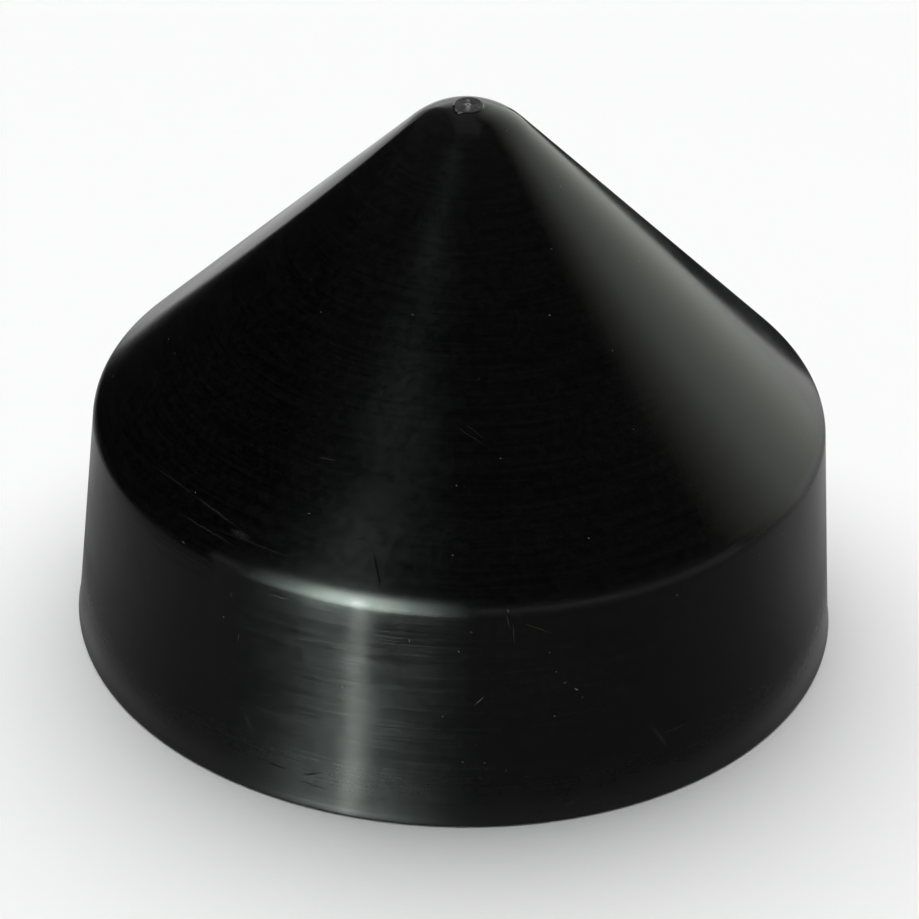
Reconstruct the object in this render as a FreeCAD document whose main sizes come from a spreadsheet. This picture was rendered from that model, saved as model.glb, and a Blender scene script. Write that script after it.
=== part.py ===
import FreeCAD, Part
import math
import os

import Sketcher

# Conical cap for the top of a round pile: one thin moulded shell, open below.
# The cone sheds water, and the tapered skirt slips over the pile's cut end.
# Lengths are millimetres and angles are degrees.
# The origin is the centre of the mouth, on the plane that the rim stands on, and +Z is up.
# The seen side, where the filling stub is cut lowest, faces -Y.

# Driving sizes, each written once: alias, value and what it measures
SIZES = [
    ("wall", 3.0, "thickness of the shell, the same all over"),
    ("seat_radius", 127.0, "inside radius at the top of the skirt, for a 10 inch pile"),
    ("socket_depth", 80.0, "height of that place above the rim"),
    ("skirt_draft", 5.0, "lean of the skirt from upright, so that it leaves its mould"),
    ("cone_slope", 45.0, "slope of the cone from level"),
    ("shoulder_inner_radius", 6.5, "inside curve between skirt and cone"),
    ("tip_inner_radius", 27.0, "inside curve of the rounded tip"),
    ("lip_height", 3.5, "height of the faint flare along the rim"),
    ("lip_lean", 12.0, "lean of that flare from upright"),
    ("rim_edge_radius", 0.8, "rounding of the rim's outer edge"),
    ("lead_in", 0.8, "chamfer inside the mouth, which guides the pile in"),
    ("stub_radius", 4.8, "radius of the cut filling stub on the tip, at its cut"),
    ("stub_height", 0.25, "height of the middle of the slanting cut above the tip"),
    ("stub_draft", 4.0, "lean of the stub's side from upright"),
    ("stub_foot_radius", 0.7, "curve where the stub grows out of the tip"),
    ("cut_lean", 6.0, "slope of the cut, down towards the front"),
    ("nub_radius", 0.75, "top of the torn nub in the middle of the cut"),
    ("nub_height", 0.5, "how far the nub stands above the middle of the cut"),
    ("nub_lean", 35.0, "lean of the nub's side from upright"),
    ("pit_radius", 0.35, "mouth of the shrinkage pit in the nub"),
    ("pit_depth", 0.5, "depth of that pit"),
]

# The numbers that a sketch gives to an edge's points and to its own two axes
START, END, CENTRE = range(1, 4)
H_AXIS, V_AXIS = range(-1, -3, -1)
ORIGIN = (H_AXIS, START)
SMALL = 1e-6
TIP_HEIGHT = "wall_section.Constraints.tip_height"


def fill_sheet(doc):
    """The spreadsheet that holds the driving sizes."""
    sheet = doc.addObject("Spreadsheet::Sheet", "sizes")
    for row, (alias, value, meaning) in enumerate(SIZES, start=1):
        sheet.set(f"A{row}", alias)
        sheet.set(f"B{row}", str(value))
        sheet.set(f"C{row}", meaning)
        sheet.setAlias(f"B{row}", alias)
    doc.recompute()
    return sheet


def section_sketch(body, name, plane):
    """An empty sketch on one of the body's own upright planes, its own y being height."""
    sketch = body.newObject("Sketcher::SketchObject", name)
    support = next(f for f in body.Origin.OriginFeatures if f.Role == plane)
    sketch.AttachmentSupport = [(support, "")]
    sketch.MapMode = "FlatFace"
    return sketch


def line(sketch, start, end):
    """Adds a straight edge and gives back its number."""
    edge = Part.LineSegment(FreeCAD.Vector(*start, 0), FreeCAD.Vector(*end, 0))
    return sketch.addGeometry(edge, False)


def arc(sketch, centre, radius, low, high):
    """Adds an arc that runs anticlockwise from angle low to angle high, in radians."""
    circle = Part.Circle(FreeCAD.Vector(*centre, 0), FreeCAD.Vector(0, 0, 1), radius)
    return sketch.addGeometry(Part.ArcOfCircle(circle, low, high), False)


def join(sketch, kind, *pairs):
    """Ties edge ends together: kind is Coincident or Tangent."""
    for first, second in pairs:
        sketch.addConstraint(Sketcher.Constraint(kind, *first, *second))


def put_on_axis(sketch, axis, *points):
    """Keeps each point on the sketch's own level or upright axis."""
    for point in points:
        sketch.addConstraint(Sketcher.Constraint("PointOnObject", *point, axis))


def align(sketch, kind, *edges):
    """Keeps each edge Horizontal or Vertical."""
    for edge in edges:
        sketch.addConstraint(Sketcher.Constraint(kind, edge))


def bind(sketch, name, constraint, expression):
    """Adds a named dimension and ties it to the sheet."""
    number = sketch.addConstraint(constraint)
    sketch.renameConstraint(number, name)
    sketch.setExpression(f"Constraints.{name}", expression)


def measure(sketch, name, constraint):
    """Adds a named dimension that only reads off what the others give."""
    number = sketch.addConstraint(constraint)
    sketch.renameConstraint(number, name)
    sketch.setDriving(number, False)


def radius_of(edge, value):
    return Sketcher.Constraint("Radius", edge, value)


def lean_of(edge, value):
    return Sketcher.Constraint("Angle", edge, math.radians(value))


def out_to(point, value):
    return Sketcher.Constraint("DistanceX", *ORIGIN, *point, value)


def up_to(point, value):
    return Sketcher.Constraint("DistanceY", *ORIGIN, *point, value)


def check_sketch(sketch):
    """Stops the build if a section isn't solved or still has a loose dimension."""
    if sketch.solve() != 0 or not sketch.FullyConstrained:
        raise RuntimeError(f"sketch {sketch.Name} isn't solved and fully constrained")


def wall_section(body, size):
    """Half section of the shell: the skirt, shoulder, cone and tip, each with both faces."""
    sketch = section_sketch(body, "wall_section", "XZ_Plane")
    wall = size("wall")
    bend, nose = size("shoulder_inner_radius"), size("tip_inner_radius")
    draft, slope = math.radians(size("skirt_draft")), math.radians(size("cone_slope"))
    upright = math.pi / 2
    cone_side = upright - slope

    # Where the parts start, before the constraints below pull them into place
    shoulder = (
        size("seat_radius") - bend * math.cos(draft),
        size("socket_depth") - bend * math.sin(draft),
    )

    def on_shoulder(angle, radius):
        return (shoulder[0] + radius * math.cos(angle), shoulder[1] + radius * math.sin(angle))

    cone_foot = on_shoulder(cone_side, bend)
    ridge = cone_foot[1] + cone_foot[0] * math.tan(slope)
    tip = (0.0, ridge - nose / math.cos(slope))

    def on_tip(angle, radius):
        return (radius * math.cos(angle), tip[1] + radius * math.sin(angle))

    def on_skirt(radius, height):
        top = on_shoulder(draft, radius)
        return (top[0] + (top[1] - height) * math.tan(draft), height)

    mouth = on_skirt(bend, 0.0)
    lip_top = on_skirt(bend + wall, size("lip_height"))
    lip_foot = (lip_top[0] + lip_top[1] * math.tan(math.radians(size("lip_lean"))), 0.0)

    lip = line(sketch, lip_foot, lip_top)
    skirt_out = line(sketch, lip_top, on_shoulder(draft, bend + wall))
    shoulder_out = arc(sketch, shoulder, bend + wall, draft, cone_side)
    cone_out = line(sketch, on_shoulder(cone_side, bend + wall), on_tip(cone_side, nose + wall))
    tip_out = arc(sketch, tip, nose + wall, cone_side, upright)
    middle = line(sketch, on_tip(upright, nose + wall), on_tip(upright, nose))
    tip_in = arc(sketch, tip, nose, cone_side, upright)
    cone_in = line(sketch, cone_foot, on_tip(cone_side, nose))
    shoulder_in = arc(sketch, shoulder, bend, draft, cone_side)
    skirt_in = line(sketch, mouth, on_shoulder(draft, bend))
    rim = line(sketch, mouth, lip_foot)

    join(
        sketch,
        "Tangent",
        ((skirt_out, END), (shoulder_out, START)),
        ((shoulder_out, END), (cone_out, START)),
        ((cone_out, END), (tip_out, START)),
        ((skirt_in, END), (shoulder_in, START)),
        ((shoulder_in, END), (cone_in, START)),
        ((cone_in, END), (tip_in, START)),
    )
    join(
        sketch,
        "Coincident",
        ((lip, END), (skirt_out, START)),
        ((tip_out, END), (middle, START)),
        ((tip_in, END), (middle, END)),
        ((skirt_in, START), (rim, START)),
        ((lip, START), (rim, END)),
        ((shoulder_out, CENTRE), (shoulder_in, CENTRE)),
        ((tip_out, CENTRE), (tip_in, CENTRE)),
    )
    put_on_axis(sketch, V_AXIS, (tip_out, CENTRE), (middle, START), (middle, END))
    put_on_axis(sketch, H_AXIS, (rim, START), (rim, END))
    sketch.addConstraint(Sketcher.Constraint("Parallel", skirt_out, skirt_in))

    outer_bend = "sizes.shoulder_inner_radius + sizes.wall"
    outer_nose = "sizes.tip_inner_radius + sizes.wall"
    seat = (shoulder_in, START)
    bind(sketch, "shoulder_in", radius_of(shoulder_in, bend), "sizes.shoulder_inner_radius")
    bind(sketch, "shoulder_out", radius_of(shoulder_out, bend + wall), outer_bend)
    bind(sketch, "tip_in", radius_of(tip_in, nose), "sizes.tip_inner_radius")
    bind(sketch, "tip_out", radius_of(tip_out, nose + wall), outer_nose)
    bind(sketch, "seat_out", out_to(seat, size("seat_radius")), "sizes.seat_radius")
    bind(sketch, "seat_up", up_to(seat, size("socket_depth")), "sizes.socket_depth")
    bind(sketch, "draft", lean_of(skirt_in, 90 + size("skirt_draft")), "90 + sizes.skirt_draft")
    bind(sketch, "slope", lean_of(cone_in, 180 - size("cone_slope")), "180 - sizes.cone_slope")
    bind(sketch, "lip_top", up_to((lip, END), size("lip_height")), "sizes.lip_height")
    bind(sketch, "lip_lean", lean_of(lip, 90 + size("lip_lean")), "90 + sizes.lip_lean")

    # The mouth's radius and the tip's height follow from the rest, and later steps use them
    measure(sketch, "mouth", out_to((skirt_in, START), mouth[0]))
    measure(sketch, "tip_height", up_to((tip_out, END), tip[1] + nose + wall))
    check_sketch(sketch)
    return sketch


def stub_section(body, size, tip_height):
    """Half section of the stub before it is cut, rooted along the middle of the wall."""
    sketch = section_sketch(body, "stub_section", "XZ_Plane")
    radius, lean = size("stub_radius"), math.tan(math.radians(size("stub_draft")))
    mid_wall = size("tip_inner_radius") + size("wall") / 2
    tip_centre = tip_height - size("tip_inner_radius") - size("wall")
    cut = tip_height + size("stub_height")
    top = cut + radius

    root_angle = math.acos(radius / mid_wall)
    root_edge = (radius, tip_centre + mid_wall * math.sin(root_angle))
    top_edge = (radius - (top - cut) * lean, top)
    root = arc(sketch, (0.0, tip_centre), mid_wall, root_angle, math.pi / 2)
    lower_side = line(sketch, root_edge, (radius, cut))
    upper_side = line(sketch, (radius, cut), top_edge)
    flat = line(sketch, top_edge, (0.0, top))
    middle = line(sketch, (0.0, top), (0.0, tip_centre + mid_wall))

    join(
        sketch,
        "Coincident",
        ((root, START), (lower_side, START)),
        ((lower_side, END), (upper_side, START)),
        ((upper_side, END), (flat, START)),
        ((flat, END), (middle, START)),
        ((middle, END), (root, END)),
    )
    put_on_axis(sketch, V_AXIS, (root, CENTRE), (middle, START), (middle, END))
    align(sketch, "Horizontal", flat)
    sketch.addConstraint(Sketcher.Constraint("Parallel", upper_side, lower_side))

    centre_up = f"{TIP_HEIGHT} - (sizes.tip_inner_radius + sizes.wall) * 1 mm"
    cut_up = f"{TIP_HEIGHT} + sizes.stub_height * 1 mm"
    top_up = f"{cut_up} + sizes.stub_radius * 1 mm"
    draft = lean_of(lower_side, 90 + size("stub_draft"))
    bind(sketch, "root", radius_of(root, mid_wall), "sizes.tip_inner_radius + sizes.wall / 2")
    bind(sketch, "centre_up", up_to((root, CENTRE), tip_centre), centre_up)
    bind(sketch, "cut_up", up_to((lower_side, END), cut), cut_up)
    bind(sketch, "cut_out", out_to((lower_side, END), radius), "sizes.stub_radius")
    bind(sketch, "top_up", up_to((flat, START), top), top_up)
    bind(sketch, "draft", draft, "90 + sizes.stub_draft")
    check_sketch(sketch)
    return sketch


def waste_section(body, size, tip_height):
    """Side view of what the slanting cut takes off the stub: the corner wedge above it."""
    sketch = section_sketch(body, "waste_section", "YZ_Plane")
    reach = size("stub_radius") + size("stub_foot_radius")
    rise = reach * math.tan(math.radians(size("cut_lean")))
    cut = tip_height + size("stub_height")
    top = cut + 2 * size("stub_radius")

    corners = [(-reach, cut - rise), (reach, cut + rise), (reach, top), (-reach, top)]
    sides = [line(sketch, a, b) for a, b in zip(corners, corners[1:] + corners[:1])]
    slant, back, flat, front = sides
    pivot = sketch.addGeometry(Part.Point(FreeCAD.Vector(0, cut, 0)), True)

    ends = [((a, END), (b, START)) for a, b in zip(sides, sides[1:] + sides[:1])]
    join(sketch, "Coincident", *ends)
    align(sketch, "Horizontal", flat)
    align(sketch, "Vertical", back, front)
    put_on_axis(sketch, V_AXIS, (pivot, START))
    middle = Sketcher.Constraint("Symmetric", slant, START, slant, END, pivot, START)
    sketch.addConstraint(middle)

    cut_up = f"{TIP_HEIGHT} + sizes.stub_height * 1 mm"
    top_up = f"{cut_up} + 2 * sizes.stub_radius * 1 mm"
    reach_out = "sizes.stub_radius + sizes.stub_foot_radius"
    bind(sketch, "cut_up", up_to((pivot, START), cut), cut_up)
    bind(sketch, "top_up", up_to((flat, START), top), top_up)
    bind(sketch, "reach", out_to((back, START), reach), reach_out)
    bind(sketch, "lean", lean_of(slant, size("cut_lean")), "sizes.cut_lean")
    check_sketch(sketch)
    return sketch


def nub_section(body, size, tip_height):
    """Half section of the torn nub and its pit, rooted in the stub at the tip's height."""
    sketch = section_sketch(body, "nub_section", "XZ_Plane")
    radius, lean = size("nub_radius"), math.tan(math.radians(size("nub_lean")))
    top = tip_height + size("stub_height") + size("nub_height")
    pit_floor = top - size("pit_depth")

    corners = [
        (0.0, tip_height),
        (radius + (top - tip_height) * lean, tip_height),
        (radius, top),
        (size("pit_radius"), top),
        (0.0, pit_floor),
    ]
    edges = [line(sketch, a, b) for a, b in zip(corners, corners[1:] + corners[:1])]
    root, side, crown, pit, middle = edges

    ends = [((a, END), (b, START)) for a, b in zip(edges, edges[1:] + edges[:1])]
    join(sketch, "Coincident", *ends)
    align(sketch, "Horizontal", root, crown)
    put_on_axis(sketch, V_AXIS, (middle, START), (middle, END))

    top_up = f"{TIP_HEIGHT} + (sizes.stub_height + sizes.nub_height) * 1 mm"
    pit_up = f"{top_up} - sizes.pit_depth * 1 mm"
    bind(sketch, "root_up", up_to((root, START), tip_height), TIP_HEIGHT)
    bind(sketch, "top_up", up_to((crown, START), top), top_up)
    bind(sketch, "pit_up", up_to((pit, END), pit_floor), pit_up)
    bind(sketch, "top_out", out_to((crown, START), radius), "sizes.nub_radius")
    bind(sketch, "pit_out", out_to((pit, START), size("pit_radius")), "sizes.pit_radius")
    bind(sketch, "lean", lean_of(side, 90 + size("nub_lean")), "90 + sizes.nub_lean")
    check_sketch(sketch)
    return sketch


def recompute_step(feature, base, grows):
    """Recomputes the document and stops if the new feature didn't change its base as it should."""
    feature.Document.recompute()
    if base is None:
        return feature
    change = feature.Shape.Volume - base.Shape.Volume
    if abs(change) < SMALL or (change > 0) != grows:
        raise RuntimeError(f"{feature.Name} changed the volume by {change} mm3")
    return feature


def turn(body, sketch, name, base=None):
    """A full turn of a half section about the upright axis, added to what is there."""
    feature = body.newObject("PartDesign::Revolution", name)
    feature.Profile = sketch
    feature.ReferenceAxis = (sketch, ["V_Axis"])
    feature.Angle = 360
    return recompute_step(feature, base, grows=True)


def cut_through(body, sketch, name, base):
    """A cut with the sketch's outline, right through on both sides of its plane."""
    feature = body.newObject("PartDesign::Pocket", name)
    feature.Profile = sketch
    feature.Type = "ThroughAll"
    feature.SideType = "Symmetric"
    return recompute_step(feature, base, grows=False)


def treat_rings(body, base, kind, name, expression, grows, wanted):
    """Fillets or chamfers the round edges of the base whose radius and height the test picks."""

    def is_wanted(edge):
        # A pole of the rounded tip is an edge with no curve of its own
        if edge.Degenerated or not isinstance(edge.Curve, Part.Circle):
            return False
        return wanted(edge.Curve.Radius, edge.Curve.Center.z)

    edges = enumerate(base.Shape.Edges, start=1)
    rings = [f"Edge{number}" for number, edge in edges if is_wanted(edge)]
    if not rings:
        raise RuntimeError(f"{name} found no edge")
    feature = body.newObject(f"PartDesign::{kind}", name)
    feature.Base = (base, rings)
    feature.setExpression("Radius" if kind == "Fillet" else "Size", expression)
    return recompute_step(feature, base, grows)


def pile_cap(doc, size):
    """The whole cap: the turned shell, its eased rim, and the cut stub on its tip."""
    body = doc.addObject("PartDesign::Body", "pile_cap")
    body.Label = "pile_cap"
    section = wall_section(body, size)
    shell = turn(body, section, "shell")
    tip_height = section.getDatum("tip_height").Value
    seat_height = size("socket_depth")
    mouth_radius = section.getDatum("mouth").Value

    def at_mouth(radius, height):
        return abs(height) < SMALL and abs(radius - mouth_radius) < SMALL

    def at_rim_edge(radius, height):
        return abs(height) < SMALL and radius > mouth_radius + SMALL

    def at_stub_foot(radius, height):
        is_stub = abs(radius - size("stub_radius")) < size("stub_height") + size("wall")
        return is_stub and seat_height < height < tip_height

    rounding, easing = "sizes.rim_edge_radius", "sizes.lead_in"
    rim = treat_rings(body, shell, "Fillet", "rim_edge", rounding, False, at_rim_edge)
    mouth = treat_rings(body, rim, "Chamfer", "mouth_lead_in", easing, False, at_mouth)
    stub = turn(body, stub_section(body, size, tip_height), "stub", mouth)
    rounding = "sizes.stub_foot_radius"
    foot = treat_rings(body, stub, "Fillet", "stub_foot", rounding, True, at_stub_foot)
    cut = cut_through(body, waste_section(body, size, tip_height), "stub_cut", foot)
    body.Tip = turn(body, nub_section(body, size, tip_height), "nub", cut)
    doc.recompute()
    return body


def check_document(doc, parts):
    """Stops the build if any object failed or any part has no sound shape."""
    for item in doc.Objects:
        if {"Invalid", "Error"} & set(item.State):
            raise RuntimeError(f"{item.Name} failed: {item.State}")
    for part in parts:
        if part.Shape.isNull() or not part.Shape.isValid():
            raise RuntimeError(f"{part.Label} has no valid shape")
        if len(part.Shape.Solids) != 1:
            raise RuntimeError(f"{part.Label} isn't one solid")


def main():
    doc = FreeCAD.newDocument("pile_cap_model")
    sheet = fill_sheet(doc)

    def size(alias):
        return float(getattr(sheet, alias))

    parts = [pile_cap(doc, size)]
    check_document(doc, parts)
    os.makedirs("parts", exist_ok=True)
    for part in parts:
        part.Shape.exportStep(f"parts/{part.Label}.step")
        print(part.Label, "volume in cubic centimetres:", round(part.Shape.Volume / 1000, 2))


main()
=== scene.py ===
import math

import bmesh
import bpy
from mathutils import Matrix, Vector, noise
from mathutils.bvhtree import BVHTree


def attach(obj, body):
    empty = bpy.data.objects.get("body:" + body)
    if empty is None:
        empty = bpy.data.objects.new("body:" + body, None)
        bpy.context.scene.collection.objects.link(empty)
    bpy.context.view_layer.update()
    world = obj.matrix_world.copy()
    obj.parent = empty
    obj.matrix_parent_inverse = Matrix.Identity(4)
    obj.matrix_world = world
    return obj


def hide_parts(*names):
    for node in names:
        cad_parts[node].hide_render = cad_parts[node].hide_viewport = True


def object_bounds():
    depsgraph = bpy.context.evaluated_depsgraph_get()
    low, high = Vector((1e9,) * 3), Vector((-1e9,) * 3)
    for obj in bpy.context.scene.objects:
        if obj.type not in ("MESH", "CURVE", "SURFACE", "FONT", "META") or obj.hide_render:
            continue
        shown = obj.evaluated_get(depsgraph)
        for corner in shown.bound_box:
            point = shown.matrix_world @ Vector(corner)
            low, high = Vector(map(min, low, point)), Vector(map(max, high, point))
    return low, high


# Conical pile cap, one black polyethylene moulding that stands on its rim.
# Lengths are metres and angles radians. +Z is up, and the seen side faces -Y.

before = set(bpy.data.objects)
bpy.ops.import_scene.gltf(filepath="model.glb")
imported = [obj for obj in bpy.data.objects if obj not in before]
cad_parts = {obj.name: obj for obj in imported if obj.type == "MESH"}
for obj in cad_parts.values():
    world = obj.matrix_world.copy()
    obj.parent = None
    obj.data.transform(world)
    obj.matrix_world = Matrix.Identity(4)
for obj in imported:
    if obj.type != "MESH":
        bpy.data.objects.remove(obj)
CAD_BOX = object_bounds()

MM = 0.001

# The moulding's own sizes
WALL = 3.0 * MM
SEAT_RADIUS = 127.0 * MM
SOCKET_DEPTH = 80.0 * MM
SKIRT_DRAFT = math.radians(5)
CONE_SLOPE = math.radians(45)
SHOULDER_RADIUS = 6.5 * MM
TIP_RADIUS = 27.0 * MM
LIP_HEIGHT = 3.5 * MM
LIP_LEAN = math.radians(12)
RIM_ROUNDING = 0.8 * MM
LEAD_IN = 0.8 * MM
STUB_RADIUS = 4.8 * MM
STUB_HEIGHT = 0.25 * MM
STUB_FOOT = 0.7 * MM
CUT_LEAN = math.radians(6)

# The torn cut, and the flap that the cutter pulled over its front left edge
TORN_REACH = 8.2 * MM
CUT_INSET = 0.03 * MM
TOP_CLEARANCE = 0.02 * MM
FLAP_TURN = math.radians(232)
FLAP_SPREAD = math.radians(19)
FLAP_REACH = 1.35 * MM

# The sink of the cooled skin, which fades out towards the rim and the axis
SINK_DEPTH = 0.12 * MM
SINK_DETAIL = 14
SINK_START = 4 * MM
SINK_FADE = 20 * MM

# The mesh
SEGMENTS = 320
FOOT_ROWS = 8
FOOT_CROWDING = 1.6
CUT_ROWS = 40
CREASE = math.radians(25)

# Where the two bends have their centres, in the half section (radius, height)
SHOULDER = (
    SEAT_RADIUS - SHOULDER_RADIUS * math.cos(SKIRT_DRAFT),
    SOCKET_DEPTH - SHOULDER_RADIUS * math.sin(SKIRT_DRAFT),
)
CONE_SIDE = math.pi / 2 - CONE_SLOPE
RIDGE_HEIGHT = (
    SHOULDER[1]
    + SHOULDER_RADIUS * math.sin(CONE_SIDE)
    + (SHOULDER[0] + SHOULDER_RADIUS * math.cos(CONE_SIDE)) * math.tan(CONE_SLOPE)
)
TIP = (0.0, RIDGE_HEIGHT - TIP_RADIUS / math.cos(CONE_SLOPE))
TIP_TOP = TIP[1] + TIP_RADIUS + WALL
OUTER_SHOULDER = SHOULDER_RADIUS + WALL
OUTER_TIP = TIP_RADIUS + WALL

# The photograph's frame and viewpoint, found from the cap's outline
PHOTO_SIDE = 919
SENSOR = 36.0
FOCAL_PIXELS = 3612.9
VIEW_ELEVATION = math.radians(32.204)
VIEW_ROLL = math.radians(1.713)
VIEW_DISTANCE = 1.295
VIEW_TARGET = Vector((0, 0, 62 * MM))
TARGET_RIGHT = -0.394 * MM
TARGET_UP = 2.177 * MM


def make_camera():
    """The photograph's viewpoint, with its slight roll."""
    level = Vector((1, 0, 0))
    upward = Vector((0, math.sin(VIEW_ELEVATION), math.cos(VIEW_ELEVATION)))
    back = Vector((0, -math.cos(VIEW_ELEVATION), math.sin(VIEW_ELEVATION)))
    right = math.cos(VIEW_ROLL) * level + math.sin(VIEW_ROLL) * upward
    up = math.cos(VIEW_ROLL) * upward - math.sin(VIEW_ROLL) * level
    place = VIEW_TARGET - TARGET_RIGHT * right - TARGET_UP * up + VIEW_DISTANCE * back
    turn = Matrix((right, up, back)).transposed().to_4x4()

    data = bpy.data.cameras.new("camera")
    data.sensor_width = SENSOR
    data.lens = FOCAL_PIXELS / PHOTO_SIDE * SENSOR
    camera = bpy.data.objects.new("camera", data)
    camera.matrix_world = Matrix.Translation(place) @ turn
    bpy.context.scene.collection.objects.link(camera)
    bpy.context.scene.camera = camera


# The half section: (radius, height) points, from the tip's inside round the rim to the stub

def arc(centre, radius, first, last, steps):
    """Points along an arc, with both its ends."""
    turns = (first + (last - first) * step / steps for step in range(steps + 1))
    return [(centre[0] + radius * math.cos(a), centre[1] + radius * math.sin(a)) for a in turns]


def run(start, end, steps):
    """Points that divide a straight run, without its two ends."""
    shares = (step / steps for step in range(1, steps))
    return [tuple(a + (b - a) * share for a, b in zip(start, end)) for share in shares]


def skirt_point(radius, height):
    """The skirt's face at a height, on the side that lies radius from the shoulder's centre."""
    top = arc(SHOULDER, radius, SKIRT_DRAFT, SKIRT_DRAFT, 1)[0]
    return (top[0] + (top[1] - height) * math.tan(SKIRT_DRAFT), height)


def inner_face():
    """The hollow's face, from its top down to the mouth."""
    tip = arc(TIP, TIP_RADIUS, math.pi / 2, CONE_SIDE, 12)
    shoulder = arc(SHOULDER, SHOULDER_RADIUS, CONE_SIDE, SKIRT_DRAFT, 8)
    mouth = skirt_point(SHOULDER_RADIUS, LEAD_IN * math.cos(SKIRT_DRAFT))
    cone = run(tip[-1], shoulder[0], 14)
    skirt = run(shoulder[-1], mouth, 8)
    return tip + cone + shoulder + skirt + [mouth]


def rim_face():
    """The flat that the cap stands on, its rounded outer edge and the faint flare above."""
    flat = skirt_point(SHOULDER_RADIUS, 0)[0] + LEAD_IN
    lip_top = skirt_point(OUTER_SHOULDER, LIP_HEIGHT)
    lip_foot = lip_top[0] + LIP_HEIGHT * math.tan(LIP_LEAN)
    centre = (lip_foot - RIM_ROUNDING * math.tan((math.pi / 2 + LIP_LEAN) / 2), RIM_ROUNDING)
    rounding = arc(centre, RIM_ROUNDING, -math.pi / 2, LIP_LEAN, 7)
    flat_ring = [(flat, 0.0)] + run((flat, 0.0), rounding[0], 2)
    return flat_ring + rounding + run(rounding[-1], lip_top, 3) + [lip_top]


def outer_face(lip_top):
    """The outside, from the lip up to where the stub's rows begin."""
    shoulder = arc(SHOULDER, OUTER_SHOULDER, SKIRT_DRAFT, CONE_SIDE, 16)
    torn_turn = math.acos(TORN_REACH / OUTER_TIP)
    tip = arc(TIP, OUTER_TIP, CONE_SIDE, torn_turn, 20)
    return run(lip_top, shoulder[0], 24) + shoulder + run(shoulder[-1], tip[0], 44) + tip


SECTION = inner_face() + rim_face()
SECTION += outer_face(SECTION[-1])


# The cut stub: the top of the dome as heights over rings that grow finer towards the axis

def hump(x, y, centre, size, height):
    """A soft round hump, all in millimetres."""
    gap = math.hypot((x - centre[0]) / size[0], (y - centre[1]) / size[1])
    return height * math.exp(-gap * gap)


def torn_height(x, y):
    """How far the torn plastic stands off the slanting cut, all in millimetres."""
    tear = noise.fractal(Vector((x * 2.4, y * 0.9, 3.0)), 0.9, 2.1, 4)
    height = 0.07 * tear - 0.05
    height += hump(x, y, (-0.3, -0.3), (1.05, 0.85), 0.62)
    height += hump(x, y, (-0.2, -2.6), (0.95, 1.7), 0.34)
    height += hump(x, y, (-0.4, 2.4), (0.9, 1.1), 0.30)
    height -= hump(x, y, (-0.3, -0.35), (0.36, 0.34), 0.85)
    height -= hump(x, y, (1.3, 0.6), (0.6, 0.9), 0.16)
    return height


def burr_height(x, y):
    """The burrs on the flap that the cutter pulled over the dome, in millimetres."""
    round_burr = hump(x, y, (-4.5, -4.1), (0.6, 0.65), 0.34)
    return round_burr + hump(x, y, (-3.1, -5.2), (0.95, 0.45), 0.36)


def cut_radius(angle):
    """How far the cut reaches from the axis: round, but for the flap."""
    gap = (angle - FLAP_TURN) / FLAP_SPREAD
    return STUB_RADIUS + FLAP_REACH * math.exp(-gap * gap)


def top_height(radius, angle):
    """The height of the dome, its stub and the torn cut at one ring and azimuth."""
    x, y = radius * math.cos(angle), radius * math.sin(angle)
    dome = TIP[1] + math.sqrt(OUTER_TIP ** 2 - radius * radius)
    torn = (torn_height(x / MM, y / MM) + burr_height(x / MM, y / MM)) * MM
    cut = TIP_TOP + STUB_HEIGHT + y * math.tan(CUT_LEAN) + torn
    outside = radius - cut_radius(angle)
    if outside >= 0:
        away = max(0.0, STUB_FOOT - outside)
        return min(dome + STUB_FOOT - math.sqrt(STUB_FOOT ** 2 - away ** 2), max(cut, dome))
    return min(cut, CAD_BOX[1][2] - TOP_CLEARANCE)


def stub_rows(angle):
    """The rings over the stub at one azimuth, from the dome to the axis."""
    edge = cut_radius(angle)
    foot_edge = edge + STUB_FOOT
    shares = [step / FOOT_ROWS for step in range(1, FOOT_ROWS + 1)]
    outside = [TORN_REACH + (foot_edge - TORN_REACH) * share for share in shares]
    foot = [edge + STUB_FOOT * (1 - share) ** FOOT_CROWDING for share in shares]
    face = [(edge - CUT_INSET) * (1 - step / CUT_ROWS) for step in range(CUT_ROWS + 1)]
    return [(radius, top_height(radius, angle)) for radius in outside + foot + face]


def sink(place, radius, height):
    """How far the moulding sank in as it cooled. The rim and the axis stay true."""
    slow = noise.noise(place * SINK_DETAIL) * 0.5 + 0.5
    above_rim = min(1.0, max(0.0, (height - SINK_START) / SINK_FADE))
    return SINK_DEPTH * slow * (above_rim * min(1.0, radius / SINK_FADE))


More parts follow.
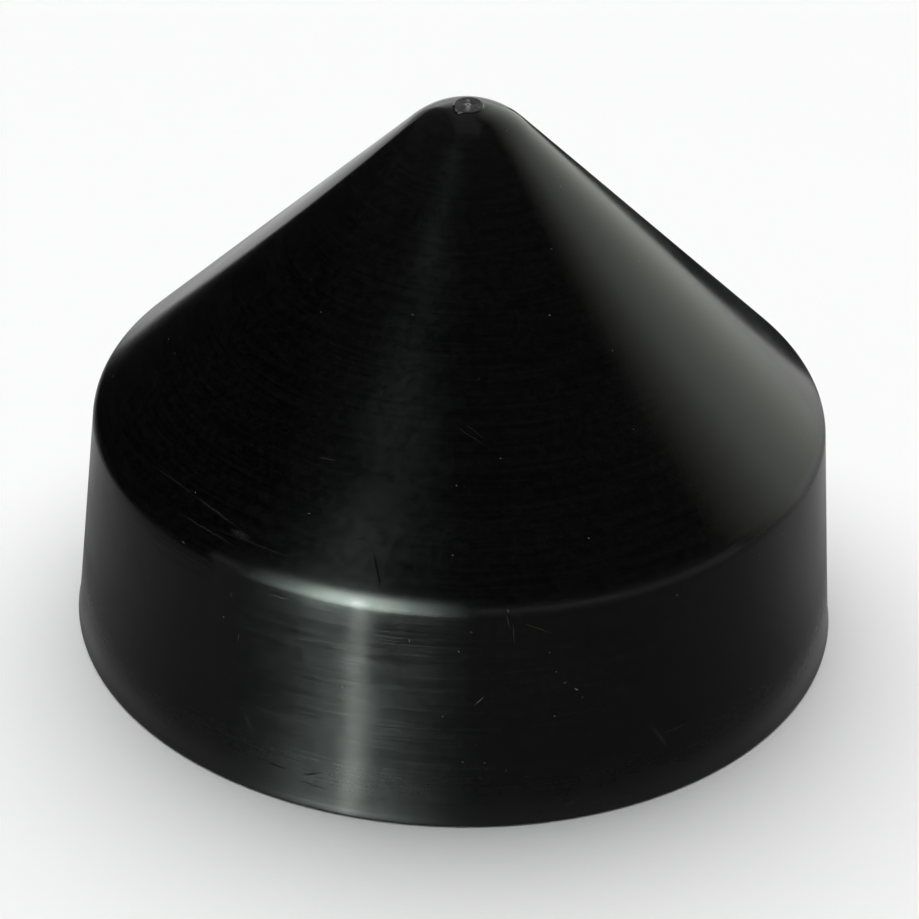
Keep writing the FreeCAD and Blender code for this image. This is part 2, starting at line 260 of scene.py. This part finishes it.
def make_cap():
    """The whole moulding as one closed mesh, turned row by row."""
    vertices, faces = [], []
    turns = [math.tau * number / SEGMENTS for number in range(SEGMENTS)]
    columns = [SECTION[1:] + stub_rows(angle)[:-1] for angle in turns]
    rows = len(columns[0])
    for row in range(rows):
        for angle, column in zip(turns, columns):
            radius, height = column[row]
            place = Vector((radius * math.cos(angle), radius * math.sin(angle), height))
            inward = sink(place, radius, height)
            place.x -= inward * math.cos(angle)
            place.y -= inward * math.sin(angle)
            vertices.append(place)
    inside, outside = len(vertices), len(vertices) + 1
    vertices.append(Vector((0, 0, SECTION[0][1])))
    vertices.append(Vector((0, 0, stub_rows(0.0)[-1][1])))
    for row in range(rows - 1):
        for number in range(SEGMENTS):
            after = (number + 1) % SEGMENTS
            a, b = row * SEGMENTS + number, row * SEGMENTS + after
            faces.append((a, a + SEGMENTS, b + SEGMENTS, b))
    last = (rows - 1) * SEGMENTS
    for number in range(SEGMENTS):
        after = (number + 1) % SEGMENTS
        faces.append((inside, number, after))
        faces.append((last + number, outside, last + after))

    mesh = bpy.data.meshes.new("pile_cap_moulding")
    mesh.from_pydata(vertices, [], faces)
    shape = bmesh.new()
    shape.from_mesh(mesh)
    bmesh.ops.recalc_face_normals(shape, faces=shape.faces)
    for face in shape.faces:
        face.smooth = True
    for edge in shape.edges:
        edge.smooth = edge.calc_face_angle(0) < CREASE
    shape.to_mesh(mesh)
    shape.free()
    cap = bpy.data.objects.new("pile_cap_moulding", mesh)
    bpy.context.scene.collection.objects.link(cap)
    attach(cap, "root")
    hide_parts("pile_cap")
    return cap


# Materials: sockets as values, so that shader maths reads as arithmetic

class Value:
    """A node's output. Arithmetic on it adds Math nodes, or Vector Math where it is a vector."""

    def __init__(self, maker, socket):
        self.maker = maker
        self.socket = socket

    def maths(self, operation, *values):
        kind = "VectorMath" if self.socket.type == "VECTOR" else "Math"
        return self.maker.node(kind, {"operation": operation}, dict(enumerate(values)))

    def __add__(self, other):
        return self.maths("ADD", self, other)

    def __sub__(self, other):
        return self.maths("SUBTRACT", self, other)

    def __rsub__(self, other):
        return self.maths("SUBTRACT", other, self)

    def __mul__(self, other):
        return self.maths("MULTIPLY", self, other)

    __radd__ = __add__
    __rmul__ = __mul__


class Maker:
    """Adds the nodes of one material."""

    def __init__(self, name):
        self.material = bpy.data.materials.new(name)
        self.material.use_nodes = True
        self.tree = self.material.node_tree
        self.tree.nodes.clear()

    def node(self, kind, settings=None, inputs=None, output=0):
        """One node: its settings first, then its sockets' values or links."""
        node = self.tree.nodes.new("ShaderNode" + kind)
        for name, value in (settings or {}).items():
            if name == "stops":
                self.set_stops(node.color_ramp, value)
            else:
                setattr(node, name, value)
        for name, value in (inputs or {}).items():
            if isinstance(value, Value):
                self.tree.links.new(value.socket, node.inputs[name])
            else:
                node.inputs[name].default_value = value
        return Value(self, node.outputs[output]) if len(node.outputs) else node

    def set_stops(self, ramp, stops):
        while len(ramp.elements) < len(stops):
            ramp.elements.new(1.0)
        for element, (position, value) in zip(ramp.elements, stops):
            element.position = position
            element.color = (*(value if isinstance(value, tuple) else (value,) * 3), 1)

    def place(self):
        """Where a point of the surface is, in metres."""
        return self.node("TexCoord", output="Object")

    def axis(self, place, name):
        return self.node("SeparateXYZ", inputs={"Vector": place}, output=name)

    def distance(self, place, point):
        settings = {"operation": "DISTANCE"}
        return self.node("VectorMath", settings, {0: place, 1: point}, output="Value")

    def from_axis(self, place):
        """How far a point is from the upright axis."""
        flat = place * (1, 1, 0)
        return self.node("VectorMath", {"operation": "LENGTH"}, {0: flat}, output="Value")

    def azimuth(self, place):
        """The angle of a point round the upright axis, from the front towards +X."""
        x, y = (self.axis(place, name) for name in "XY")
        return self.node("Math", {"operation": "ARCTAN2"}, {0: x, 1: y * -1})

    def fade(self, value, first, last, low=0.0, high=1.0):
        """The level between low and high, as a value goes from first to last."""
        reach = {"From Min": first, "From Max": last, "To Min": low, "To Max": high}
        return self.node("MapRange", inputs={"Value": value, **reach})

    def ramp(self, share, stops):
        return self.node("ValToRGB", {"stops": stops}, {"Fac": share})

    def pattern(self, place, scale, detail, roughness=0.5, output=0):
        """A noise. Its scale is in waves per metre."""
        inputs = {"Vector": place, "Scale": scale, "Detail": detail, "Roughness": roughness}
        return self.node("TexNoise", inputs=inputs, output=output)

    def mix(self, share, first, second):
        """A number between two numbers."""
        return self.node("Mix", {"data_type": "FLOAT"}, {0: share, 2: first, 3: second})

    def mix_colour(self, share, first, second):
        """A colour between two colours."""
        settings = {"data_type": "RGBA"}
        return self.node("Mix", settings, {0: share, 6: first, 7: second}, output=2)

    def surface(self, kind, inputs):
        """Closes the material with its shader."""
        self.node("OutputMaterial", inputs={"Surface": self.node(kind, inputs=inputs)})
        return self.material

    def glow(self, colour, strength, base=0.0):
        """Closes the material as one that shines and mirrors nothing."""
        inputs = {
            "Base Color": (base, base, base, 1),
            "Specular IOR Level": 0.0,
            "Emission Color": colour,
            "Emission Strength": strength,
        }
        return self.surface("BsdfPrincipled", inputs)


# Marks of use. Each is a stroke between two pixels of the photograph, with its width in
# millimetres and its strength.

SCUFFS = {
    "long upper scuff": ((193, 494), (240, 529), 0.95, 0.15),
    "long lower scuff": ((174, 510), (240, 549), 0.90, 0.12),
    "pale patch": ((232, 530), (247, 538), 3.0, 0.15),
    "faint line above": ((148, 462), (198, 497), 0.80, 0.08),
    "scratch below": ((205, 525), (300, 561), 0.80, 0.08),
    "shoulder line": ((264, 593), (293, 600), 0.55, 0.20),
    "left tick": ((238, 631), (237, 643), 0.50, 0.25),
    "upper left tick": ((230, 589), (231, 598), 0.50, 0.22),
    "left smear": ((243, 711), (251, 728), 2.6, 0.08),
    "curved scratch": ((317, 457), (336, 460), 0.50, 0.22),
    "twin scratch": ((454, 425), (488, 447), 0.45, 0.16),
    "twin scratch beside": ((462, 421), (487, 441), 0.40, 0.14),
    "rim scuff": ((564, 806), (579, 797), 1.2, 0.16),
    "right scuff": ((648, 722), (672, 752), 2.0, 0.09),
    "right brush": ((655, 735), (690, 722), 0.9, 0.10),
}
RUBS = {
    "upright rub": ((373, 551), (381, 590), 0.70, 0.60),
    "short rub": ((358, 616), (358, 627), 0.55, 0.60),
    "low rub": ((267, 762), (287, 769), 1.1, 0.55),
    "low rub beside": ((303, 774), (322, 772), 1.0, 0.55),
    "low rub below": ((299, 780), (327, 789), 0.8, 0.35),
}
SPECKS = {
    "upper left speck": ((182, 541), (184, 543), 0.55, 0.55),
    "cone speck": ((499, 458), (501, 458), 0.45, 0.4),
    "left cone speck": ((308, 513), (310, 513), 0.45, 0.35),
    "low cone speck": ((451, 555), (453, 555), 0.45, 0.4),
    "shoulder speck": ((507, 609), (508, 612), 0.50, 0.4),
    "streak speck": ((409, 639), (409, 641), 0.45, 0.45),
    "front speck": ((470, 632), (472, 632), 0.45, 0.4),
    "middle speck": ((441, 716), (443, 716), 0.45, 0.35),
    "right speck": ((553, 716), (555, 716), 0.45, 0.4),
    "low speck": ((483, 762), (485, 762), 0.45, 0.35),
    "high speck": ((550, 249), (552, 249), 0.40, 0.4),
    "high left speck": ((411, 314), (413, 314), 0.40, 0.4),
    "fibre": ((474, 705), (484, 696), 0.35, 0.5),
    "grain": ((457, 650), (459, 652), 0.50, 0.5),
    "grain right": ((574, 688), (578, 690), 0.60, 0.5),
    "grain above": ((563, 683), (566, 682), 0.40, 0.35),
    "grain below": ((581, 698), (583, 696), 0.40, 0.35),
    "dust line": ((506, 614), (509, 630), 0.40, 0.14),
    "dust line beside": ((512, 622), (514, 644), 0.40, 0.12),
    "dust trail": ((520, 622), (556, 634), 0.50, 0.08),
}

# How a stroke fades from its middle, how deep it reaches, and how far a noise bends it
STROKE_CORE = 0.35
STROKE_DEPTH = 6 * MM
STROKE_BEND = 0.9 * MM


class Marks:
    """Strokes on the moulding's surface, as masks in its material."""

    def __init__(self, make, place, cap):
        shape = bmesh.new()
        shape.from_mesh(cap.data)
        self.surface = BVHTree.FromBMesh(shape)
        shape.free()
        self.make = make
        self.place = place

    def seen_point(self, pixel):
        """The point of the surface, and its normal, that a pixel of the photograph shows."""
        camera = bpy.context.scene.camera.matrix_world
        middle = (PHOTO_SIDE - 1) / 2
        look = camera.to_3x3() @ Vector((pixel[0] - middle, middle - pixel[1], -FOCAL_PIXELS))
        point, normal, _, _ = self.surface.ray_cast(camera.translation, look.normalized())
        return point, normal

    def stroke(self, start, end, width, strength):
        """A long thin mask that tapers to both its ends."""
        (first, facing), (last, _) = self.seen_point(start), self.seen_point(end)
        along = (last - first).normalized()
        across = facing.cross(along).normalized()
        half_width = width * MM / 2
        reach = self.make.node(
            "Mapping",
            {"vector_type": "TEXTURE"},
            {
                "Vector": self.place,
                "Location": (first + last) / 2,
                "Rotation": Matrix((along, across, along.cross(across))).transposed().to_euler(),
                "Scale": ((last - first).length / 2 + half_width, half_width, STROKE_DEPTH),
            },
        )
        gap = self.make.node("VectorMath", {"operation": "LENGTH"}, {0: reach}, output="Value")
        return self.make.fade(gap, 1.0, STROKE_CORE, high=strength)

    def mask(self, strokes):
        """The strongest of a group of strokes at each point."""
        mask = None
        for values in strokes.values():
            stroke = self.stroke(*values)
            mask = stroke if mask is None else mask.maths("MAXIMUM", mask, stroke)
        return mask


# The black plastic. Its two ramps run up the cap: the skin's roughness, with a polish of its
# own round the shoulder, and the skin's grey, which pales towards the tip.

POLISH_TOP = 100 * MM
POLISH = [
    (0.0, 0.325), (0.08, 0.305), (0.28, 0.222), (0.45, 0.185), (0.60, 0.155), (0.70, 0.135),
    (0.79, 0.145), (0.80, 0.165), (0.811, 0.24), (0.842, 0.24), (0.857, 0.22), (0.875, 0.17),
    (0.92, 0.150),
]
GREY_TOP = 200 * MM
GREY = [(0.0, 0.0009), (0.76, 0.0009), (0.865, 0.0015), (0.94, 0.0025), (1.0, 0.0032)]
HAZE = 0.0023
SCUFFED = (0.085, 0.088, 0.084, 1)
DUSTY = (0.22, 0.22, 0.21, 1)
SPECKLED = (0.20, 0.19, 0.14, 1)

# How much each pattern and mark changes the roughness
CLOUDS_WEIGHT = 0.15
MOTTLE_WEIGHT = 0.07
RINGS_WEIGHT = 0.15
SCUFFS_WEIGHT = 0.3
RUBS_WEIGHT = -0.2
DUST_WEIGHT = 0.3
TORN_WEIGHT = 0.3

# The turned rings, which are plain on the skirt and fainter on the cone
RING_DETAIL = (26, 26, 1250)
RING_DEPTH = 0.03 * MM
SKIRT_END = 78 * MM
CONE_START = 90 * MM
CONE_TURNING = 0.2

# The torn cut, the middle of its burrs, and the dust
TORN_ROUGHNESS = 0.52
TORN_DEPTH = 0.25 * MM
BURRS = Vector((-3.6 * MM, -4.6 * MM, TIP_TOP))
DUST_PER_METRE = 150.0
DUST_CHOICE = 0.66


def torn_mask(make, place, height):
    """Where the stub is cut: 1 on its torn face and on the burrs, and 0 on the moulded skin."""
    radius = make.from_axis(place)
    inside = make.fade(radius, STUB_RADIUS + 0.05 * MM, STUB_RADIUS - 0.12 * MM)
    near_burrs = make.fade(make.distance(place, BURRS), 3.0 * MM, 2.4 * MM)
    off_centre = make.distance(place, (0, 0, TIP[1]))
    standing = make.fade(off_centre, OUTER_TIP + 0.12 * MM, OUTER_TIP + 0.24 * MM)
    above = make.node("Math", {"operation": "GREATER_THAN"}, {0: height, 1: TIP_TOP - 1.5 * MM})
    return above * inside.maths("MAXIMUM", inside, standing * near_burrs)


def torn_grey_and_painted_light(make, place, height, grain):
    """The torn face's grey: the cut's own matt grey, with a painted highlight that pales the parts
    standing up off the cut, and painted shade that darkens its pits.
    """
    standing = height - make.axis(place, "Y") * math.tan(CUT_LEAN) - (TIP_TOP + STUB_HEIGHT)
    # Painted highlight: the grey pales where the torn plastic stands up off the cut
    grey_with_painted_highlight = make.fade(standing, 0.02 * MM, 0.42 * MM, low=0.030, high=0.22)
    # Painted shade: the grey darkens in the pits below the cut
    pit_painted_shade = make.fade(standing, -0.35 * MM, -0.12 * MM, low=0.15)
    return grey_with_painted_highlight * pit_painted_shade * make.fade(grain, 0.3, 0.7, low=0.45, high=1.8)


def dust_mask(make, place):
    """Fine grains of dust: the middles of some of a scatter's cells."""
    cells = {"Vector": place, "Scale": DUST_PER_METRE}
    gap = make.node("TexVoronoi", inputs=cells, output="Distance")
    draw = make.node("TexVoronoi", inputs=cells, output="Color")
    chosen = make.node("Math", {"operation": "GREATER_THAN"}, {0: draw, 1: DUST_CHOICE})
    return chosen * make.fade(gap, 0.045, 0.025, high=0.55)


def black_polyethylene(cap):
    """Satin black plastic, faintly turned and cloudy, with its marks, its dust and the torn cut."""
    make = Maker("black_polyethylene")
    place = make.place()
    height = make.axis(place, "Z")
    rings = make.pattern(place * RING_DETAIL, scale=1.0, detail=2.0, roughness=0.6)
    clouds = make.pattern(place, scale=34.0, detail=4.0, roughness=0.55)
    mottle = make.pattern(place, scale=330.0, detail=4.0, roughness=0.7)
    grain = make.pattern(place, scale=1600.0, detail=2.0, roughness=0.6)

    wobble = make.pattern(place, scale=260.0, detail=3.0, output="Color")
    shift = make.node(
        "VectorMath",
        {"operation": "MULTIPLY_ADD"},
        {0: wobble, 1: (STROKE_BEND,) * 3, 2: (-STROKE_BEND / 2,) * 3},
    )
    marks = Marks(make, place + shift, cap)
    scuffs = marks.mask(SCUFFS) * make.fade(grain, 0.38, 0.58, low=0.35)
    rubs = marks.mask(RUBS)
    specks = marks.mask(SPECKS)
    dust = dust_mask(make, place)
    torn = torn_mask(make, place, height)

    turned = make.fade(height, CONE_START, SKIRT_END, low=CONE_TURNING)
    ring_grain = (rings * 0.6 + grain * 0.4 - 0.5) * turned
    roughness = make.ramp(make.fade(height, 0.0, POLISH_TOP), POLISH)
    roughness = roughness + (clouds - 0.5) * CLOUDS_WEIGHT + (mottle - 0.5) * MOTTLE_WEIGHT
    roughness = roughness + ring_grain * RINGS_WEIGHT + scuffs * SCUFFS_WEIGHT
    roughness = roughness + rubs * RUBS_WEIGHT + (specks + dust) * DUST_WEIGHT
    roughness = make.mix(torn, roughness, TORN_ROUGHNESS + (grain - 0.5) * TORN_WEIGHT)

    colour = make.ramp(make.fade(height, 0.0, GREY_TOP), GREY)
    colour = colour + make.fade(rings * 0.4 + mottle * 0.6, 0.40, 0.62, high=HAZE)
    colour = make.mix_colour(scuffs, colour, SCUFFED)
    colour = make.mix_colour(dust, colour, DUSTY)
    colour = make.mix_colour(specks, colour, SPECKLED)
    # The torn face's own grey, with its painted highlight and painted shade
    colour = make.mix_colour(torn, colour, torn_grey_and_painted_light(make, place, height, grain))

    relief = make.node("Bump", inputs={"Height": rings * turned, "Distance": RING_DEPTH})
    torn_relief = {"Height": grain * torn, "Distance": TORN_DEPTH, "Normal": relief}
    return make.surface(
        "BsdfPrincipled",
        {
            "Base Color": colour,
            "Roughness": roughness,
            "Specular IOR Level": 0.27,
            "Anisotropic": 0.95,
            "Anisotropic Rotation": 0.25,
            "Normal": make.node("Bump", inputs=torn_relief),
        },
    )


# The studio. Most of it is seen by the cap's gloss alone. The floor lies just below the rim,
# and the flat pieces just over it, each at its own level, so that the higher hide the lower.

FLOOR_DROP = 0.2 * MM
CARD_LEVEL = 1.0 * MM
SURROUND_LEVEL = 1.5 * MM
GLOW_LEVEL = 1.6 * MM
STREAK_LEVEL = 2.0 * MM
SHADOW_CARD_LEVEL = 2.2 * MM
PAPER = (0.88, 0.88, 0.88, 1)
SEEN_PAPER = (0.97, 0.97, 0.97, 1)
# The dark cards' black, one of which is painted shadow
BLACK_CARD = (0.01, 0.01, 0.012, 1)
ROOM = (0.05, 0.05, 0.05, 1)


def add_mesh(name, vertices, faces, material):
    """A new object of the stage."""
    mesh = bpy.data.meshes.new(name)
    mesh.from_pydata(vertices, [], faces)
    mesh.materials.append(material)
    piece = bpy.data.objects.new(name, mesh)
    bpy.context.scene.collection.objects.link(piece)
    return piece


def show_in_gloss(name, vertices, faces, material):
    """A piece that only the cap's gloss sees: it neither shows, lights nor shades anything."""
    piece = add_mesh(name, vertices, faces, material)
    piece.visible_camera = False
    piece.visible_diffuse = False
    piece.visible_shadow = False
    return piece


def grid(rows, columns):
    """The faces between a grid's points, which are listed row by row."""
    corners = (row * columns + column for row in range(rows - 1) for column in range(columns - 1))
    return [(a, a + 1, a + 1 + columns, a + columns) for a in corners]


def pale_floor():
    """Pale paper, nearly white to the camera alone, so that it throws no more light on the cap."""
    make = Maker("pale_floor")
    seen = make.node("LightPath", output="Is Camera Ray")
    colour = make.mix_colour(seen, PAPER, SEEN_PAPER)
    look = {"Base Color": colour, "Roughness": 0.9, "Specular IOR Level": 0.1}
    return make.surface("BsdfPrincipled", look)


def make_floor():
    """A round flat floor whose edge sweeps up all round into a low backdrop."""
    flat, bend, wall = 3.4, 0.6, 0.15
    section = [(flat, 0.0)] + arc((flat, bend), bend, -math.pi / 2, 0.0, 12)[1:]
    section += [(flat + bend, bend + wall)]
    sides = 96
    vertices = [(0, 0, -FLOOR_DROP)]
    for radius, height in section:
        for number in range(sides):
            turn = math.tau * number / sides
            side = (radius * math.cos(turn), radius * math.sin(turn))
            vertices.append((*side, height - FLOOR_DROP))
    faces = []
    for number in range(sides):
        a, b = 1 + number, 1 + (number + 1) % sides
        faces.append((0, a, b))
        for start in range(0, (len(section) - 1) * sides, sides):
            faces.append((start + a, start + a + sides, start + b + sides, start + b))
    floor = add_mesh("floor", vertices, faces, pale_floor())
    for polygon in floor.data.polygons:
        polygon.use_smooth = True


def make_panel(name, azimuth, distance, width, low, high, radiance):
    """An upright lamp that faces the axis. Its azimuth is in degrees from the front towards +X."""
    side = math.radians(azimuth)
    away = Vector((math.sin(side), -math.cos(side), 0))
    data = bpy.data.lights.new(name, "AREA")
    data.shape = "RECTANGLE"
    data.size, data.size_y = width, high - low
    data.energy = radiance * math.pi * width * (high - low)
    lamp = bpy.data.objects.new(name, data)
    lamp.location = away * distance + Vector((0, 0, (low + high) / 2))
    lamp.rotation_euler = away.to_track_quat("Z", "Y").to_euler()
    lamp.visible_camera = False
    bpy.context.scene.collection.objects.link(lamp)


def band(first, last, steps, rings):
    """Points and faces of a band between two (radius, height) rings, over a span of azimuths."""
    vertices = []
    for step in range(steps + 1):
        turn = first + (last - first) * step / steps
        for radius, height in rings:
            vertices.append((radius * math.sin(turn), -radius * math.cos(turn), height))
    return vertices, grid(steps + 1, len(rings))


def wall_light(name, first, last, around, fade, radiance):
    """A glow with stops over the azimuth, which fades in from one reach, out and up, to another."""
    make = Maker(name)
    place = make.place()
    level = make.ramp(make.fade(make.azimuth(place), first, last), around)
    reach = make.from_axis(place) + make.axis(place, "Z")
    shine = make.node(
        "MapRange",
        {"interpolation_type": "SMOOTHSTEP"},
        {"Value": reach, "From Min": fade[0], "From Max": fade[1]},
    )
    colour = make.node("VectorMath", {"operation": "SCALE"}, {0: level, "Scale": shine})
    return make.glow(colour, radiance)


def make_wall(name, azimuths, near, far, fade, around, radiance):
    """A curved light wall between two (radius, height) rings. Its azimuths are in degrees."""
    first, last = (math.radians(azimuth) for azimuth in azimuths)
    vertices, faces = band(first, last, steps=24, rings=(near, far))
    show_in_gloss(name, vertices, faces, wall_light(name, first, last, around, fade, radiance))


def make_dark_cards():
    """Black cards, one upright and three on the floor, which give the gloss its dark parts. The
    long one behind on the right is painted shadow: in the gloss it stands in for the cap's own
    shadow on the floor there.
    """
    left, low, high = -0.25, 0.0, 0.3
    upright = [(left, -0.15, low), (left, 0.42, low), (left, 0.42, high), (left, -0.15, high)]
    near, side = -0.195, 0.8
    front = [(-side, near), (side, near), (side, -1.2), (-side, -1.2)]
    right = [(0.2, near), (side, near), (side, 0.1), (0.23, 0.1)]
    # Painted shadow: this card darkens the right edge's gloss as the cap's own cast shadow on the
    # floor behind it would
    back = [(0.12, 0.15), (0.165, 0.155), (0.23, 0.24)]
    back += [(0.37, 0.62), (0.50, 1.15), (0.30, 1.60), (0.004, 0.31)]
    flat = ((front, CARD_LEVEL), (right, CARD_LEVEL), (back, SHADOW_CARD_LEVEL))
    vertices, faces = [], []
    for card in [upright] + [[(*corner, level) for corner in card] for card, level in flat]:
        faces.append(tuple(range(len(vertices), len(vertices) + len(card))))
        vertices += card
    material = Maker("dark_card").surface("BsdfDiffuse", {"Color": BLACK_CARD})
    show_in_gloss("dark_cards", vertices, faces, material)


def make_surround():
    """A ring on the floor round the cap, for its gloss: dark in front and greyer to the back."""
    inner, outer = 145 * MM, 400 * MM
    # Over the azimuth, from the back by the left, the front and the right
    greys = [
        (0.0, 0.6), (0.14, 0.47), (0.20, 0.29), (0.27, 0.24), (0.36, 0.21),
        (0.50, 0.20), (0.60, 0.16), (0.70, 0.20), (0.75, 0.32), (0.82, 0.37), (1.0, 0.6),
    ]
    rings = ((inner, SURROUND_LEVEL), (outer, SURROUND_LEVEL))
    vertices, faces = band(-math.pi, math.pi, steps=72, rings=rings)
    make = Maker("surround")
    share = make.fade(make.azimuth(make.place()), -math.pi, math.pi)
    material = make.surface("BsdfDiffuse", {"Color": make.ramp(share, greys)})
    show_in_gloss("surround", vertices, faces, material)


def mirrored(azimuth, height, level):
    """The point at a level that the camera sees mirrored in the skirt at an azimuth and height."""
    out = Vector((math.sin(azimuth), -math.cos(azimuth), 0))
    place = out * skirt_point(OUTER_SHOULDER, height)[0] + Vector((0, 0, height))
    normal = out * math.cos(SKIRT_DRAFT) + Vector((0, 0, math.sin(SKIRT_DRAFT)))
    way = (place - bpy.context.scene.camera.matrix_world.translation).reflect(normal)
    return place + way * ((level - place.z) / way.z)


def make_streak():
    """A soft strip of light on the floor, which the skirt mirrors as its upright streak."""
    azimuth, spread, reach = math.radians(-13.7), math.radians(1.7), math.radians(7.5)
    # Over the height on the skirt at which the strip is mirrored, in millimetres
    strengths = {6: 1.3, 12: 1.35, 25: 0.95, 45: 0.65, 65: 0.95, 80: 1.35, 95: 0.9, 110: 0.0}
    columns = 21
    vertices, glows = [], []
    for height, strength in strengths.items():
        for column in range(columns):
            turn = reach * (2 * column / (columns - 1) - 1)
            vertices.append(mirrored(azimuth + turn, height * MM, STREAK_LEVEL))
            glows.append(strength * math.exp(-((turn / spread) ** 2)))
    make = Maker("streak")
    glow = make.node("Attribute", {"attribute_name": "glow"}, output="Fac")
    colour = make.mix_colour(glow, (0, 0, 0, 1), (0.92, 1.0, 0.94, 1))
    material = make.glow(colour, strength=4.0, base=0.14)
    piece = show_in_gloss("streak", vertices, grid(len(strengths), columns), material)
    piece.data.attributes.new("glow", "FLOAT", "POINT").data.foreach_set("value", glows)


def make_back_glow():
    """The bright room behind and above, as the tip's gloss sees it."""
    side, back, foot, bend = 0.45, 1.6, 0.25, 1.2
    over, top = 0.2, 2.3
    vertices = [
        (-side, back, foot), (side, back, foot), (-side, back, bend),
        (side, back, bend), (-side, over, top), (side, over, top),
    ]
    make = Maker("back_glow")
    fade = make.fade(make.axis(make.place(), "Z"), foot, bend, low=1.6, high=0.26)
    show_in_gloss("back_glow", vertices, grid(3, 2), make.glow(fade, strength=1.0))


def tinted(stops, tint):
    """A ramp's stops with one tint over all their levels."""
    return [(position, tuple(level * part for part in tint)) for position, level in stops]


def make_sun():
    """A wide soft light from behind and above, which gives the cap no gloss."""
    above = Vector((-0.06, 0.54, 0.84))
    sun = bpy.data.lights.new("back_light", "SUN")
    sun.energy = 3.5
    sun.angle = math.radians(100)
    lamp = bpy.data.objects.new("back_light", sun)
    lamp.rotation_euler = above.to_track_quat("Z", "Y").to_euler()
    lamp.visible_glossy = False
    bpy.context.scene.collection.objects.link(lamp)


def make_lights():
    """The lamps, and the lights that the gloss mirrors. Azimuths are in degrees."""
    make_sun()
    make_panel("key", azimuth=-25.2, distance=0.85, width=0.022, low=0.0, high=0.06, radiance=320)
    # Levels over the azimuth, from a wall's first end to its last
    swell = [
        (0, 0.0), (0.12, 0.08), (0.25, 0.26), (0.34, 0.66), (0.41, 1.0),
        (0.54, 1.0), (0.63, 0.74), (0.75, 0.30), (0.89, 0.08), (1, 0.0),
    ]
    rise = [(0, 0.0), (0.33, 1.0), (1, 1.0)]
    cool, warm = (0.85, 1.0, 0.93), (0.95, 1.0, 0.91)
    make_wall(
        "window", azimuths=(-55, 5), near=(0.50, 0.0), far=(0.50, 0.46),
        fade=(0.93, 0.66), around=tinted(swell, cool), radiance=24.5,
    )
    make_wall(
        "floor_glow", azimuths=(-57, 5), near=(0.38, GLOW_LEVEL), far=(0.499, GLOW_LEVEL),
        fade=(0.43, 0.48), around=tinted(swell, cool), radiance=200,
    )
    make_streak()
    make_wall(
        "side_wall", azimuths=(84, 168), near=(0.8, 0.05), far=(0.8, 1.6),
        fade=(2.4, 1.1), around=tinted(rise, warm), radiance=1.3,
    )


def make_world():
    """A dim even room, and the plain view transform."""
    world = bpy.data.worlds.new("world")
    world.use_nodes = True
    world.node_tree.nodes["Background"].inputs["Color"].default_value = ROOM
    bpy.context.scene.world = world
    bpy.context.scene.view_settings.view_transform = "Standard"


make_camera()
cap = make_cap()
cap.data.materials.append(black_polyethylene(cap))
make_floor()
make_dark_cards()
make_surround()
make_back_glow()
make_lights()
make_world()
